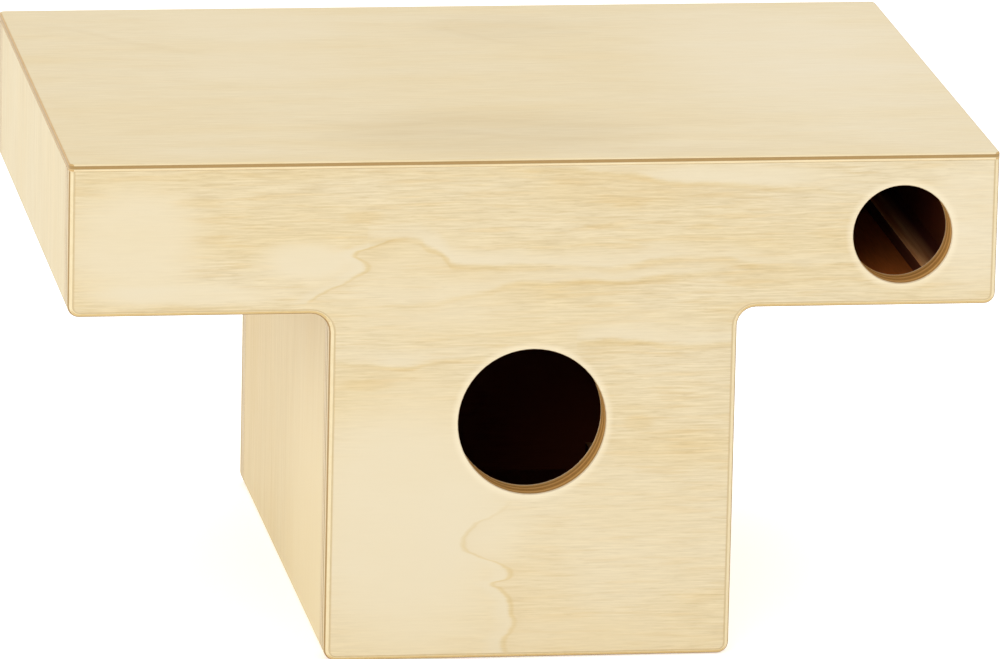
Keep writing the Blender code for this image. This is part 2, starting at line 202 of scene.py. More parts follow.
BACK_FIGURE = {
    "dull": 0.9,
    "calm_and_lit": ((70, 60, 60, 70, 1), (-120, 190, 60, 20, 0.8), (150, 185, 40, 26, 0.7)),
    "warm_and_shade": ((-20, 200, 80, 10, 1), (-45, 40, 36, 30, 0.8), (110, 210, 60, 6, 0.8), (-150, 165, 40, 6, 0.7)),
    "lines": (
        (0, ((-190, 176, 0.4), (-120, 172, 0.7), (-70, 176, 0.8), (-30, 186, 0.9), (0, 189, 0.9),
         (35, 181, 0.9), (80, 172, 0.8), (140, 174, 0.5), (190, 171, 0.2)), 1, 1.6),
        (0, ((-190, 162, 0), (-90, 160, 0.6), (-30, 168, 0.7), (10, 169, 0.7), (60, 160, 0.6),
         (120, 161, 0)), 1, 1.4),
        (0, ((-160, 203, 0), (-80, 206, 0.6), (0, 209, 0.6), (90, 203, 0.5), (160, 204, 0)), 1, 1.3),
        (0, ((-88, 118, 0.5), (-40, 122, 0.7), (10, 116, 0.7), (50, 121, 0.5), (88, 119, 0.5)), 1, 1.4),
        (1, ((0, 14, 0.7), (14, 17, 0.9), (26, 11, 1), (40, 22, 0.9), (52, 16, 0.9), (64, 25, 0.7),
         (84, 34, 0)), 1, 1.5),
    ),
}
BOARD_FIGURE = {
    "strength": 0.4, "honey": 0.8, "lift": (0.985, 1.005, 1.08),
    "warm_tint": "f6f4f0", "line_tint": "f4efe4",
    "calm_and_lit": ((135, 40, 90, 130, 0.4), (-90, 115, 60, 40, 0.5), (-90, 40, 50, 60, 0.4)),
    "bright": ((150, 30, 95, 180, 0.8), (205, -10, 85, 230, 0.8), (120, -115, 90, 60, 0.4)),
    "warm_and_shade": ((-15, -100, 95, 60, 1), (20, 100, 50, 40, 0.5), (60, -138, 60, 8, 0.4)),
    "lines": (
        (0, ((-200, 122, 0), (-180, 116, 0.3), (-150, 86, 0.35), (-118, 60, 0.2), (-100, 52, 0)), 1, 7),
        (0, ((-175, -92, 0), (-150, -80, 0.2), (-120, -66, 0.2), (-60, -84, 0.3), (-20, -76, 0.3),
         (30, -90, 0.3), (90, -84, 0.2), (140, -96, 0)), 1, 8),
        (0, ((-110, -118, 0), (-80, -108, 0.25), (-35, -98, 0.35), (15, -114, 0.3), (80, -110, 0.25),
         (150, -130, 0.2), (180, -132, 0)), 1, 7),
        (1, ((60, 52, 0), (68, 30, 0.2), (78, 12, 0.3), (92, 2, 0.3), (104, -6, 0.25), (116, -3, 0.2),
         (130, 14, 0)), -1, 7),
    ),
}
END_FIGURE = {"fibre": 60, "strength": 0.7, "honey": 0.6}
# On the leg sides the calm patch low at the front is painted light, and the warm patches under the arm and
# towards the back are painted shade.
SIDE_FIGURE = {
    "fibre": 60, "strength": 0.6, "honey": 0.6, "lift": (1.03, 1.04, 1.06),
    "calm_and_lit": ((25, -110, 110, 120, 0.9),),
    "warm_and_shade": ((110, 140, 130, 130, 1), (150, 0, 40, 160, 0.6)),
}
# The arm floors' inner face gets its own, lighter tint of painted shade
FLOOR_FIGURE = {"raw": "f09448"}

# The floor's disc: its sides, and how far it lies under the leg
FLOOR_SIDES = 96
FLOOR_DROP = 0.1 * MM
# The camera's sensor in millimetres, as the focal length is given for it, and how far it sees in metres
SENSOR_WIDTH = 36.0
CLIP_END = 100.0

# The soft-edged setting of a Map Range node
SMOOTH = {"interpolation_type": "SMOOTHSTEP"}


def linear(hex_colour):
    """A linear RGB triple from an sRGB hex value."""
    shares = [int(hex_colour[place:place + 2], 16) / 255 for place in (0, 2, 4)]
    return tuple(s / 12.92 if s <= 0.04045 else ((s + 0.055) / 1.055) ** 2.4 for s in shares)


def rgba(colour):
    """A socket's colour from an sRGB hex value or a linear triple."""
    return (*(linear(colour) if isinstance(colour, str) else colour)[:3], 1.0)


class CajonWood(bpy.types.PropertyGroup):
    """Colours of the boards, as the lacquered and the raw wood show them."""

    panel_face: bpy.props.FloatVectorProperty(
        name="Panel veneer", description="Birch veneer on the front and back panels",
        subtype="COLOR", default=linear("d8c9a8"))
    board_face: bpy.props.FloatVectorProperty(
        name="Playing board veneer", description="Birch veneer on the playing board",
        subtype="COLOR", default=linear("e2d1ab"))
    wall_face: bpy.props.FloatVectorProperty(
        name="Wall veneer", description="Birch veneer on the ends, leg sides, floors and bottom",
        subtype="COLOR", default=linear("d1be92"))
    end_face: bpy.props.FloatVectorProperty(
        name="Arm end veneer", description="Birch veneer on the arm ends",
        subtype="COLOR", default=linear("d2c29c"))
    pale_ply: bpy.props.FloatVectorProperty(
        name="Pale ply", description="A cut ply next to the face veneer, and every second one after it",
        subtype="COLOR", default=linear("dccca6"))
    dark_ply: bpy.props.FloatVectorProperty(
        name="Dark ply", description="A cut ply between two pale ones",
        subtype="COLOR", default=linear("a08250"))
    glue: bpy.props.FloatVectorProperty(
        name="Glue line", description="Set glue between two plies",
        subtype="COLOR", default=linear("8a6a3a"))
    joint_glue: bpy.props.FloatVectorProperty(
        name="Joint glue", description="Set glue and sanding dust between two boards",
        subtype="COLOR", default=linear("e0c898"))
    batten: bpy.props.FloatVectorProperty(
        name="Batten pine", description="Planed pine of the inner battens and the rail",
        subtype="COLOR", default=linear("ffc888"))


class CajonSnares(bpy.types.PropertyGroup):
    """Sizes of the snare strip's plate and coils."""

    coil_count: bpy.props.IntProperty(
        name="Coils", description="Wire coils along the plate", default=8, min=1, max=24)
    coil_radius: bpy.props.FloatProperty(
        name="Coil radius", description="Outer radius of one coil",
        default=1.05 * MM, min=0.0002, max=0.004, unit="LENGTH", precision=5)
    wire_radius: bpy.props.FloatProperty(
        name="Wire radius", description="Radius of the snare wire",
        default=0.2 * MM, min=0.00005, max=0.001, unit="LENGTH", precision=5)
    coil_pitch: bpy.props.FloatProperty(
        name="Coil pitch", description="Distance from one turn of a coil to the next",
        default=1.3 * MM, min=0.0003, max=0.01, unit="LENGTH", precision=5)
    colour: bpy.props.FloatVectorProperty(
        name="Zinc colour", description="Bright zinc on the plate, the coils and the screws",
        subtype="COLOR", default=linear("c3c6c9"))


class CajonStage(bpy.types.PropertyGroup):
    """Floor, light and camera."""

    floor_colour: bpy.props.FloatVectorProperty(
        name="Floor", description="Pale studio floor", subtype="COLOR",
        default=linear("f8f8f7"))
    floor_glow: bpy.props.FloatProperty(
        name="Floor glow", description="Light that the lit table gives by itself", default=0.48, min=0.0)
    floor_radius: bpy.props.FloatProperty(
        name="Floor radius", description="Radius of the round floor", default=14.0, min=1.0, unit="LENGTH")
    room_light: bpy.props.FloatProperty(
        name="Room light", description="Strength of the even light from all round", default=0.95, min=0.0)
    key_power: bpy.props.FloatProperty(
        name="Key power", description="Power of the soft light in front, above the camera",
        default=20.0, min=0.0, unit="POWER")
    side_power: bpy.props.FloatProperty(
        name="Side power", description="Power of the low soft light at the left",
        default=14.0, min=0.0, unit="POWER")
    top_power: bpy.props.FloatProperty(
        name="Top power", description="Power of the soft light overhead",
        default=12.0, min=0.0, unit="POWER")
    camera_place: bpy.props.FloatVectorProperty(
        name="Camera place", description="Where the camera stands",
        subtype="TRANSLATION", default=(-0.65328, -4.33961, 1.22042), precision=5)
    camera_azimuth: bpy.props.FloatProperty(
        name="Azimuth", description="Turn of the camera from the front towards the left side",
        default=math.radians(8.665), unit="ROTATION")
    camera_elevation: bpy.props.FloatProperty(
        name="Elevation", description="How far the camera looks down",
        default=math.radians(14.228), unit="ROTATION")
    camera_roll: bpy.props.FloatProperty(
        name="Roll", description="Tilt of the camera about its own line of sight",
        default=math.radians(1.2456), unit="ROTATION")
    focal_length: bpy.props.FloatProperty(
        name="Focal length", description="Lens of the camera on a 36 mm sensor",
        default=369.45, min=10.0, unit="CAMERA")


def add_node(tree, kind, inputs, **settings):
    """Add one node. Its settings may give a ramp's stops, as (position, colour), or its curves' points.

    An input takes a value, another node's first output, or an output socket. By number, a Map Range
    has its value at 0, the range it comes from at 1 and 2, and the one it goes to at 3 and 4, which is
    0 to 1 where left out. A colour Mix has its share at 0 and its colours at 6, 7 and output 2.
    """
    node = tree.nodes.new("ShaderNode" + kind)
    for name, value in settings.items():
        if name == "stops":
            elements = node.color_ramp.elements
            while len(elements) < len(value):
                elements.new(1.0)
            for element, (position, colour) in zip(elements, value):
                element.position = position
                element.color = colour
        elif name == "points":
            for curve, places in zip(node.mapping.curves, value):
                while len(curve.points) < len(places):
                    curve.points.new(1.0, 1.0)
                for point, place in zip(curve.points, places):
                    point.location = place
            node.mapping.update()
        else:
            setattr(node, name, value)
    for socket, value in inputs.items():
        if isinstance(value, bpy.types.Node):
            value = value.outputs[0]
        if isinstance(value, bpy.types.NodeSocket):
            tree.links.new(value, node.inputs[socket])
        else:
            node.inputs[socket].default_value = value
    return node


def new_material(name, **values):
    """A Principled material with its constant values on the shader's own sockets.

    Gives the material, its tree, the shader and the sockets of the surface's coordinates.
    """
    material = bpy.data.materials.new(name)
    material.use_nodes = True
    tree = material.node_tree
    shader = tree.nodes["Principled BSDF"]
    for socket, value in values.items():
        shader.inputs[socket.replace("_", " ")].default_value = value
    return material, tree, shader, add_node(tree, "TexCoord", {}).outputs


def grain_noise(tree, place, lengths_mm, seed, detail, roughness):
    """Noise whose features have these lengths along the grain, across it and through the board."""
    per_metre = [1000.0 / length for length in lengths_mm]
    moved = add_node(tree, "VectorMath", {
        0: place, 1: per_metre, 2: [seed * shift for shift in SEED_SHIFT]}, operation="MULTIPLY_ADD")
    return add_node(tree, "TexNoise", {
        "Vector": moved, "Scale": 1.0, "Detail": detail, "Roughness": roughness})


def ply_steps(tree, share, plies):
    """Steps through a board's plies: red is a darker ply, green a glue line, blue a face veneer."""
    thickness = sum(plies)
    stops = []
    start = 0.0
    for index, ply in enumerate(plies):
        veneer = 1.0 if index in (0, len(plies) - 1) else 0.0
        dark = 0.0 if veneer or index % 2 != DARK_PLIES[len(plies)] else 1.0
        if index:
            stops.append(((start - GLUE_LINE / 2) / thickness, (dark, 1.0, 0.0, 1.0)))
        stops.append(((start + GLUE_LINE / 2) / thickness if index else 0.0, (dark, 0.0, veneer, 1.0)))
        start += ply
    steps = add_node(tree, "ValToRGB", {0: share}, stops=stops)
    steps.color_ramp.interpolation = "CONSTANT"
    return add_node(tree, "SeparateColor", {0: steps})


def soft_patches(tree, place, patches):
    """The sum of patches, (place along the grain, place across, the two reaches, amount), which fade
    from a third of their reach outwards.
    """
    total = 0.0
    for along, across, reach_along, reach_across, amount in patches:
        offset = add_node(tree, "VectorMath", {
            0: place, 1: (1 / (reach_along * MM), 1 / (reach_across * MM), 0.0),
            2: (-along / reach_along, -across / reach_across, 0.0)}, operation="MULTIPLY_ADD")
        reach = add_node(tree, "VectorMath", {0: offset}, operation="LENGTH")
        near = add_node(tree, "MapRange", {0: reach.outputs["Value"], 1: 0.35, 2: 1.0, 3: amount, 4: 0.0},
                        **SMOOTH)
        total = add_node(tree, "Math", {0: near, 1: total}, operation="ADD")
    return total


def round_circles(tree, place, circles, margin, fade):
    """1 in circles, (along, across, radius), and in a margin round them, which then fades; all in mm."""
    level = add_node(tree, "VectorMath", {0: place, 1: (1.0, 1.0, 0.0)}, operation="MULTIPLY")
    total = 0.0
    for along, across, radius in circles:
        away = add_node(tree, "VectorMath", {0: level, 1: (along * MM, across * MM, 0.0)},
                        operation="DISTANCE")
        near = add_node(tree, "MapRange", {
            0: away.outputs["Value"], 1: (radius + margin) * MM, 2: (radius + margin + fade) * MM, 3: 1.0,
            4: 0.0}, **SMOOTH)
        total = add_node(tree, "Math", {0: near, 1: total}, operation="ADD")
    return total


def growth_line(tree, place, run, points, pale_side, width):
    """One line where the knife crossed from one year's wood to the next, with its two sides.

    run is 0 for a line along the grain and 1 for one across it. The points hold the place along
    the run, the line's place there, and how strongly it shows, the first two in millimetres.
    Gives the thin line, the pale band on one side and the tan band on the other.
    """
    low, high = points[0][0], points[-1][0]
    base = min(point[1] for point in points)
    rise = max(point[1] for point in points) - base or 1.0
    spot = add_node(tree, "SeparateXYZ", {0: place})
    share = add_node(tree, "MapRange", {0: spot.outputs[run], 1: low * MM, 2: high * MM})
    shared = add_node(tree, "CombineXYZ", {0: share, 1: share, 2: share})
    # The red curve holds where the line lies along its run, the green one how strongly it shows.
    lies = [((here - low) / (high - low), (there - base) / rise) for here, there, _ in points]
    shows = [((here - low) / (high - low), shown) for here, _, shown in points]
    curves = add_node(tree, "RGBCurve", {"Color": shared}, points=(lies, shows))
    curves = add_node(tree, "SeparateColor", {0: curves})
    line = add_node(tree, "Math", {0: curves.outputs["Red"], 1: rise * MM, 2: base * MM},
                    operation="MULTIPLY_ADD")
    away = add_node(tree, "Math", {0: spot.outputs[1 - run], 1: line}, operation="SUBTRACT")
    away = add_node(tree, "MapRange", {0: away, 1: -LINE_REACH * pale_side, 2: LINE_REACH * pale_side})
    half = width * MM / (2 * LINE_REACH)
    # Red is the line itself, blue the tan band before it and green the pale band behind it.
    tones = (
        (0.0, (0, 0, 0)), (0.3, (0, 0, 0.3)), (0.5 - half * 1.4, (0, 0, 0.5)),
        (0.5 - half * 0.4, (0.55, 0, 0.5)), (0.5 + half * 0.3, (0.45, 0, 0)), (0.5 + half * 0.9, (0, 0.2, 0)),
        (0.6, (0, 0.8, 0)), (0.72, (0, 0.6, 0)), (0.9, (0, 0, 0)))
    bands = add_node(tree, "ValToRGB", {0: away}, stops=[(at, rgba(tone)) for at, tone in tones])
    bands = add_node(tree, "VectorMath", {0: bands, "Scale": curves.outputs["Green"]}, operation="SCALE")
    return add_node(tree, "SeparateXYZ", {0: bands})


def tinted(tree, amount, colour, tint):
    """The colour multiplied by a tint, by the amount."""
    if isinstance(colour, bpy.types.Node):
        colour = colour.outputs[2]
    return add_node(tree, "Mix", {0: amount, 6: colour, 7: rgba(tint)},
                    data_type="RGBA", blend_type="MULTIPLY")


def blended(tree, amount, first, second):
    """One colour that gives way to another by the amount."""
    first, second = (c.outputs[2] if isinstance(c, bpy.types.Node) else c for c in (first, second))
    return add_node(tree, "Mix", {0: amount, 6: first, 7: second}, data_type="RGBA")


def veneer(tree, place, face, seed, figure):
    """The face of rotary-cut birch: a pale ground with honey clouds, fibre streaks and growth lines.

    Birch vessels are about 0.1 mm wide, too fine to show, so they are drawn 0.8 to 0.9 mm wide.
    """
    drift = grain_noise(tree, place, (18, 9, 9), seed + 3, 3.0, 0.55)
    drift = add_node(tree, "VectorMath", {0: drift.outputs["Color"], 1: (0.5,) * 3}, operation="SUBTRACT")
    warped = add_node(tree, "VectorMath", {0: drift, 1: FIGURE_DRIFT, 2: place},
                      operation="MULTIPLY_ADD")
    # Calm and warm patches; on the leg sides they are painted light and painted shade.
    calm_and_lit = soft_patches(tree, warped, figure["calm_and_lit"])
    warm_and_shade = soft_patches(tree, warped, figure["warm_and_shade"])
    clouds = grain_noise(tree, place, (110, 26, 30), seed + 11, 3.0, 0.55)
    streaks = grain_noise(tree, place, (figure["fibre"], 0.8, 6), seed + 23, 3.0, 0.65)
    flecks = grain_noise(tree, place, (7, 0.9, 5), seed + 31, 2.0, 0.5)
    dashes = grain_noise(tree, place, (26, 2.4, 8), seed + 41, 2.0, 0.5)

    # Streaks are nearly neutral and fade where the face is calm; clouds and lines are golden.
    lively = add_node(tree, "Math", {0: calm_and_lit, 1: -0.75, 2: 1.0}, operation="MULTIPLY_ADD", use_clamp=True)
    lively = add_node(tree, "Math", {0: lively, 1: figure["strength"]}, operation="MULTIPLY")
    colour = rgba(face)
    for noise, start, full, amount, tint in (
            (streaks, 0.32, 0.68, lively, STREAK_TINT), (flecks, 0.56, 0.76, lively, FLECK_TINT),
            (dashes, 0.5, 0.72, lively, DASH_TINT), (clouds, 0.34, 0.7, figure["honey"], HONEY_TINT)):
        shown = add_node(tree, "MapRange", {0: noise, 1: start, 2: full, 4: amount})
        colour = tinted(tree, shown, colour, tint)
    colour = tinted(tree, warm_and_shade, colour, figure["warm_tint"])
    pale = rgba([share * lift for share, lift in zip(face, figure["lift"])])
    calmed = add_node(tree, "Math", {0: calm_and_lit, 1: 0.8}, operation="MULTIPLY")
    colour = blended(tree, calmed, colour, pale)
    if figure["bright"]:
        colour = tinted(tree, soft_patches(tree, warped, figure["bright"]), colour, BRIGHT_LIFT)
    for run, points, pale_side, width in figure["lines"]:
        bands = growth_line(tree, warped, run, points, pale_side, width)
        colour = blended(tree, bands.outputs[1], colour, pale)
        colour = tinted(tree, bands.outputs[2], colour, TAN_BAND_TINT)
        colour = tinted(tree, bands.outputs[0], colour, figure["line_tint"])
    return colour, streaks


def bored_plies(tree, ply, share, mottle):
    """The plies inside a port, browned by the saw, with the pale lip of the inner veneer."""
    scorched = blended(tree, ply.outputs["Red"], rgba(SCORCHED_PALE_PLY), rgba(SCORCHED_DARK_PLY))
    scorched = tinted(tree, mottle, scorched, SCORCH_MOTTLE_TINT)
    inside = add_node(tree, "Math", {0: share, 1: 0.9}, operation="GREATER_THAN")
    lip = add_node(tree, "Math", {0: inside, 1: ply.outputs["Blue"]}, operation="MULTIPLY")
    return blended(tree, lip, scorched, rgba(INNER_VENEER))


def plywood(name, face, faces_along, grain_along, outer, slope, plies, seed, figure):
    """Lacquered birch plywood with veneer on its faces and its plies on every cut edge.

    faces_along is the axis through the board, grain_along that of the face grain. The depth below
    the outer face is slope times the distance along the board's axis, plus outer.
    """
    wood = bpy.context.scene.cajon_wood
    figure = {**PLAIN_FIGURE, **figure}
    through = AXES[faces_along]
    along = AXES[grain_along]
    across = 3 - through - along
    thickness = sum(plies) * MM
    # Sanded birch under satin lacquer: a soft sheen that shows no sharp reflection.
    material, tree, shader, coords = new_material(
        name, Roughness=0.5, IOR=1.5, Specular_IOR_Level=0.3, Coat_Weight=0.08, Coat_Roughness=0.35,
        Coat_IOR=1.5)

    spot = add_node(tree, "SeparateXYZ", {0: coords["Object"]})
    turned = add_node(tree, "VectorMath", {0: coords["Normal"]}, operation="ABSOLUTE")
    turned = add_node(tree, "SeparateXYZ", {0: turned})
    place = add_node(tree, "CombineXYZ", {
        0: spot.outputs[along], 1: spot.outputs[across], 2: spot.outputs[through]})
    away = add_node(tree, "Math", {0: spot.outputs[through]}, operation="ABSOLUTE")
    depth = add_node(tree, "Math", {0: away, 1: slope, 2: outer}, operation="MULTIPLY_ADD")
    share = add_node(tree, "Math", {0: depth, 1: thickness}, operation="DIVIDE")
    ply = ply_steps(tree, share, plies)
    figured, streaks = veneer(tree, place, face, seed, figure)

    # The surface's direction tells the flat face from a cut edge, where darker plies alternate with
    # pale ones and the veneer is golden across its grain.
    flat = add_node(tree, "MapRange", {0: turned.outputs[through], 1: 0.985, 2: 0.999}, **SMOOTH)
    ends = add_node(tree, "MapRange", {0: turned.outputs[along], 1: 0.1, 2: 0.35, 4: 0.8}, **SMOOTH)
    # Cut edges along the grain are darkened by the dull amount: on the panels, painted shade on the edges
    # that face down and up.
    shaded_edge = add_node(tree, "MapRange", {0: turned.outputs[across], 1: 0.1, 2: 0.5, 4: figure["dull"]},
                      **SMOOTH)
    mottle = grain_noise(tree, place, (2.5, 2.5, 1.2), seed + 47, 3.0, 0.6)
    mottle = add_node(tree, "MapRange", {0: mottle, 1: 0.3, 2: 0.75, 4: 0.4})
    cut = blended(tree, ply.outputs["Red"], rgba(wood.pale_ply), rgba(wood.dark_ply))
    cut = tinted(tree, mottle, cut, CUT_MOTTLE_TINT)
    cut = tinted(tree, shaded_edge, cut, EDGE_SHADE_TINT)
    trimmed = tinted(tree, ends, figured, END_GRAIN_TINT)
    if figure["bores"]:
        # The face is sanded pale round a port's mouth, and the browned plies start behind its arris.
        sanded = round_circles(tree, place, figure["bores"], margin=0.4, fade=3.5)
        sanded = add_node(tree, "Math", {0: sanded, 1: 0.5}, operation="MULTIPLY")
        mouth = [min(part * lift, 1.0) for part, lift in zip(face, MOUTH_LIFT)]
        figured = blended(tree, sanded, figured, rgba(mouth))
        deep = add_node(tree, "Math", {0: depth, 1: MOUTH_ARRIS}, operation="GREATER_THAN")
        scorched = blended(tree, deep, figured, bored_plies(tree, ply, share, mottle))
        bored = round_circles(tree, place, figure["bores"], margin=2.0, fade=0.1)
        cut = blended(tree, bored, cut, scorched)
        trimmed = blended(tree, bored, trimmed, scorched)
    colour = blended(tree, ply.outputs["Blue"], cut, trimmed)
    colour = blended(tree, flat, colour, figured)
    glued = add_node(tree, "Math", {0: ply.outputs["Green"], 1: 0.4}, operation="MULTIPLY")
    colour = blended(tree, glued, colour, rgba(wood.glue))

    # The inner face is raw: no lacquer, and it is painted darker and browner as painted shade inside the
    # closed drum.
    inner = add_node(tree, "Math", {0: share, 1: 1 - plies[-1] * MM / thickness}, operation="GREATER_THAN")
    inner = add_node(tree, "Math", {0: inner, 1: flat}, operation="MULTIPLY")
    colour = tinted(tree, inner, colour, figure["raw"])
    tree.links.new(colour.outputs[2], shader.inputs["Base Color"])

    # Gloss and relief follow the streaks, and the raw face is matter.
    gloss = add_node(tree, "MapRange", {0: streaks, 1: 0.3, 2: 0.7, 3: 0.46, 4: 0.58})
    gloss = add_node(tree, "Math", {0: inner, 1: 0.3, 2: gloss}, operation="MULTIPLY_ADD")
    tree.links.new(gloss.outputs[0], shader.inputs["Roughness"])
    bump = add_node(tree, "Bump", {"Strength": 0.12, "Distance": 0.15 * MM, "Height": streaks})
    tree.links.new(bump.outputs[0], shader.inputs["Normal"])
    return material


def planed_pine(name):
    """Planed pine, left raw: amber summer wood in long lines on a tan ground, matt."""
    wood = bpy.context.scene.cajon_wood
    material, tree, shader, coords = new_material(name, Roughness=0.7, IOR=1.5)
    spot = add_node(tree, "SeparateXYZ", {0: coords["Object"]})
    place = add_node(tree, "CombineXYZ", {0: spot.outputs["Y"], 1: spot.outputs["X"], 2: spot.outputs["Z"]})
    # Growth rings are 3.2 mm wide. Pine fibres are 0.04 mm wide, too fine to show, and drawn at 0.5 mm.
    bands = grain_noise(tree, place, (160, 3.2, 5), 3.0, 2.0, 0.5)
    fibres = grain_noise(tree, place, (20, 0.5, 0.5), 9.0, 3.0, 0.6)
    summer = add_node(tree, "MapRange", {0: bands, 1: 0.42, 2: 0.62, 4: 0.75})
    colour = tinted(tree, summer, rgba(wood.batten), SUMMER_WOOD_TINT)
    fine = add_node(tree, "MapRange", {0: fibres, 1: 0.35, 2: 0.7, 4: 0.5})
    colour = tinted(tree, fine, colour, PINE_FIBRE_TINT)
    # Every face that doesn't face up is painted darker: painted shade on the battens' sides.
    turned = add_node(tree, "SeparateXYZ", {0: coords["Normal"]})
    shaded_sides = add_node(tree, "Math", {0: turned.outputs["Z"], 1: 0.7}, operation="LESS_THAN")
    colour = tinted(tree, shaded_sides, colour, SHADED_SIDE_TINT)
    # The arm battens are painted darker towards the arm ends: painted shade where the light through the ports
    # falls off.
    outward = add_node(tree, "Math", {0: spot.outputs["X"]}, operation="ABSOLUTE")
    shaded_towards_end = add_node(tree, "MapRange", {0: outward, 1: END_LOW.x - END_SHADE_START, 2: END_LOW.x - END_SHADE_FULL})
    colour = tinted(tree, shaded_towards_end, colour, END_SHADE_TINT)
    tree.links.new(colour.outputs[2], shader.inputs["Base Color"])
    bump = add_node(tree, "Bump", {"Strength": 0.3, "Distance": 0.2 * MM, "Height": fibres})
    tree.links.new(bump.outputs[0], shader.inputs["Normal"])
    return material


def set_wood_glue(name):
    """Set wood glue that took up sanding dust: a thin pale line, smooth and slightly sunk."""
    wood = bpy.context.scene.cajon_wood
    material, tree, shader, coords = new_material(name, Roughness=0.45, IOR=1.47)
    # Dust lies in patches of about 11 mm.
    dust = grain_noise(tree, coords["Object"], (11.1,) * 3, 0.0, 2.0, 0.5)
    share = add_node(tree, "MapRange", {0: dust, 1: 0.35, 2: 0.65, 4: 0.6})
    colour = blended(tree, share, rgba(wood.joint_glue), rgba(DUSTY_GLUE))
    tree.links.new(colour.outputs[2], shader.inputs["Base Color"])
    return material


def bright_zinc(name):
    """Bright zinc plating on drawn steel: a cool grey metal with a faint cloudy haze."""
    snares = bpy.context.scene.cajon_snares
    material, tree, shader, coords = new_material(name, Metallic=1.0, Roughness=0.32)
    # Clouds of just under 3 mm, as the plating bath leaves them
    haze = grain_noise(tree, coords["Object"], (2.86,) * 3, 0.0, 3.0, 0.55)
    dull = add_node(tree, "MapRange", {0: haze, 1: 0.3, 2: 0.7, 3: 0.26, 4: 0.42})
    share = add_node(tree, "MapRange", {0: haze, 1: 0.4, 2: 0.7, 4: 0.5})
    colour = blended(tree, share, rgba(snares.colour), rgba(ZINC_HAZE))
    tree.links.new(colour.outputs[2], shader.inputs["Base Color"])
    tree.links.new(dull.outputs[0], shader.inputs["Roughness"])
    return material


def opal_acrylic(name):
    """Matt opal acrylic lit faintly from below, as on a shooting table: shadows on it nearly go."""
    stage = bpy.context.scene.cajon_stage
    material, tree, shader, coords = new_material(
        name, Roughness=0.7, IOR=1.49, Emission_Color=rgba(stage.floor_colour),
        Emission_Strength=stage.floor_glow)
    haze = grain_noise(tree, coords["Object"], (25,) * 3, 0.0, 3.0, 0.5)
    tone = blended(tree, haze, rgba(stage.floor_colour), rgba(FLOOR_HAZE))
    tree.links.new(tone.outputs[2], shader.inputs["Base Color"])
    return material


def dress(material, *nodes):
    """Give CAD boards their material."""
    for node in nodes:
        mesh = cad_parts[node].data
        mesh.materials.clear()
        mesh.materials.append(material)


def new_piece(name, mesh, material):
    """A piece of the scene's own, carried by the body and given its material."""
    piece = bpy.data.objects.new(name, mesh)
    bpy.context.scene.collection.objects.link(piece)
    mesh.materials.clear()
    mesh.materials.append(material)
    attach(piece, BODY)
    return piece


def rounded_outline(corners):
    """The points of a closed outline from (x, y, radius) corners, with an arc at each corner."""
    points = []
    for index, (x, y, radius) in enumerate(corners):
        before = corners[index - 1]
        after = corners[(index + 1) % len(corners)]
        inward = math.atan2(before[1] - y, before[0] - x)
        outward = math.atan2(after[1] - y, after[0] - x)
        half = ((outward - inward + math.pi) % (2 * math.pi) - math.pi) / 2
        reach = radius / math.sin(abs(half))
        middle = inward + half
        centre = (x + reach * math.cos(middle), y + reach * math.sin(middle))
        turn = math.pi - 2 * abs(half)
        side = 1 if half > 0 else -1
        first = middle + math.pi + side * turn / 2
        for step in range(CORNER_STEPS + 1):
            angle = first - side * turn * step / CORNER_STEPS
            points.append((centre[0] + radius * math.cos(angle), centre[1] + radius * math.sin(angle)))
    return points


def rounded_rectangle(half_x, half_y, corner):
    """An outline of four like corners about the middle."""
    turns = ((-1, -1), (1, -1), (1, 1), (-1, 1))
    return rounded_outline([(x * half_x, y * half_y, corner) for x, y in turns])


def t_outline(inset):
    """The T of the panels, drawn in by an inset."""
    leg = LEG_HALF - inset
    arm = ARM_HALF - inset
    under = ARM_UNDERSIDE + inset
    top = PANEL_HIGH.z - inset
    outer = max(OUTER_CORNER - inset, SHARP_CORNER)
    inner = INNER_CORNER + inset
    return rounded_outline([
        (-leg, inset, outer), (leg, inset, outer), (leg, under, inner), (arm, under, outer),
        (arm, top, SHARP_CORNER), (-arm, top, SHARP_CORNER), (-arm, under, outer), (-leg, under, inner)])


def board_outline(inset):
    """The playing board's outline, drawn in by an inset."""
    return rounded_rectangle(ARM_HALF - inset, DEPTH_HALF - inset, max(FACE_ARRIS - inset, SHARP_CORNER))


def flat_ring(name, outer, inner, low, high):
    """A flat closed ring between two outlines of as many points, from low to high."""
    ring = bmesh.new()
    loops = [[ring.verts.new((x, y, level)) for x, y in line] for line, level in (
        (outer, low), (outer, high), (inner, high), (inner, low))]
    count = len(outer)
    for side in range(4):
        first = loops[side]
        second = loops[(side + 1) % 4]
        for index in range(count):
            after = (index + 1) % count
            ring.faces.new((first[index], first[after], second[after], second[index]))
    bmesh.ops.recalc_face_normals(ring, faces=ring.faces)
    mesh = bpy.data.meshes.new(name)
    ring.to_mesh(mesh)
    ring.free()
    return mesh


def strips_mesh(name, boxes):
    """Thin straight strips, each between two corners, in one mesh."""
    strips = bmesh.new()
    for low, high in boxes:
        made = bmesh.ops.create_cube(strips, size=1.0)["verts"]
        bmesh.ops.scale(strips, vec=[high[a] - low[a] for a in range(3)], verts=made)
        bmesh.ops.translate(strips, vec=[(high[a] + low[a]) / 2 for a in range(3)], verts=made)
    mesh = bpy.data.meshes.new(name)
    strips.to_mesh(mesh)
    strips.free()
    return mesh


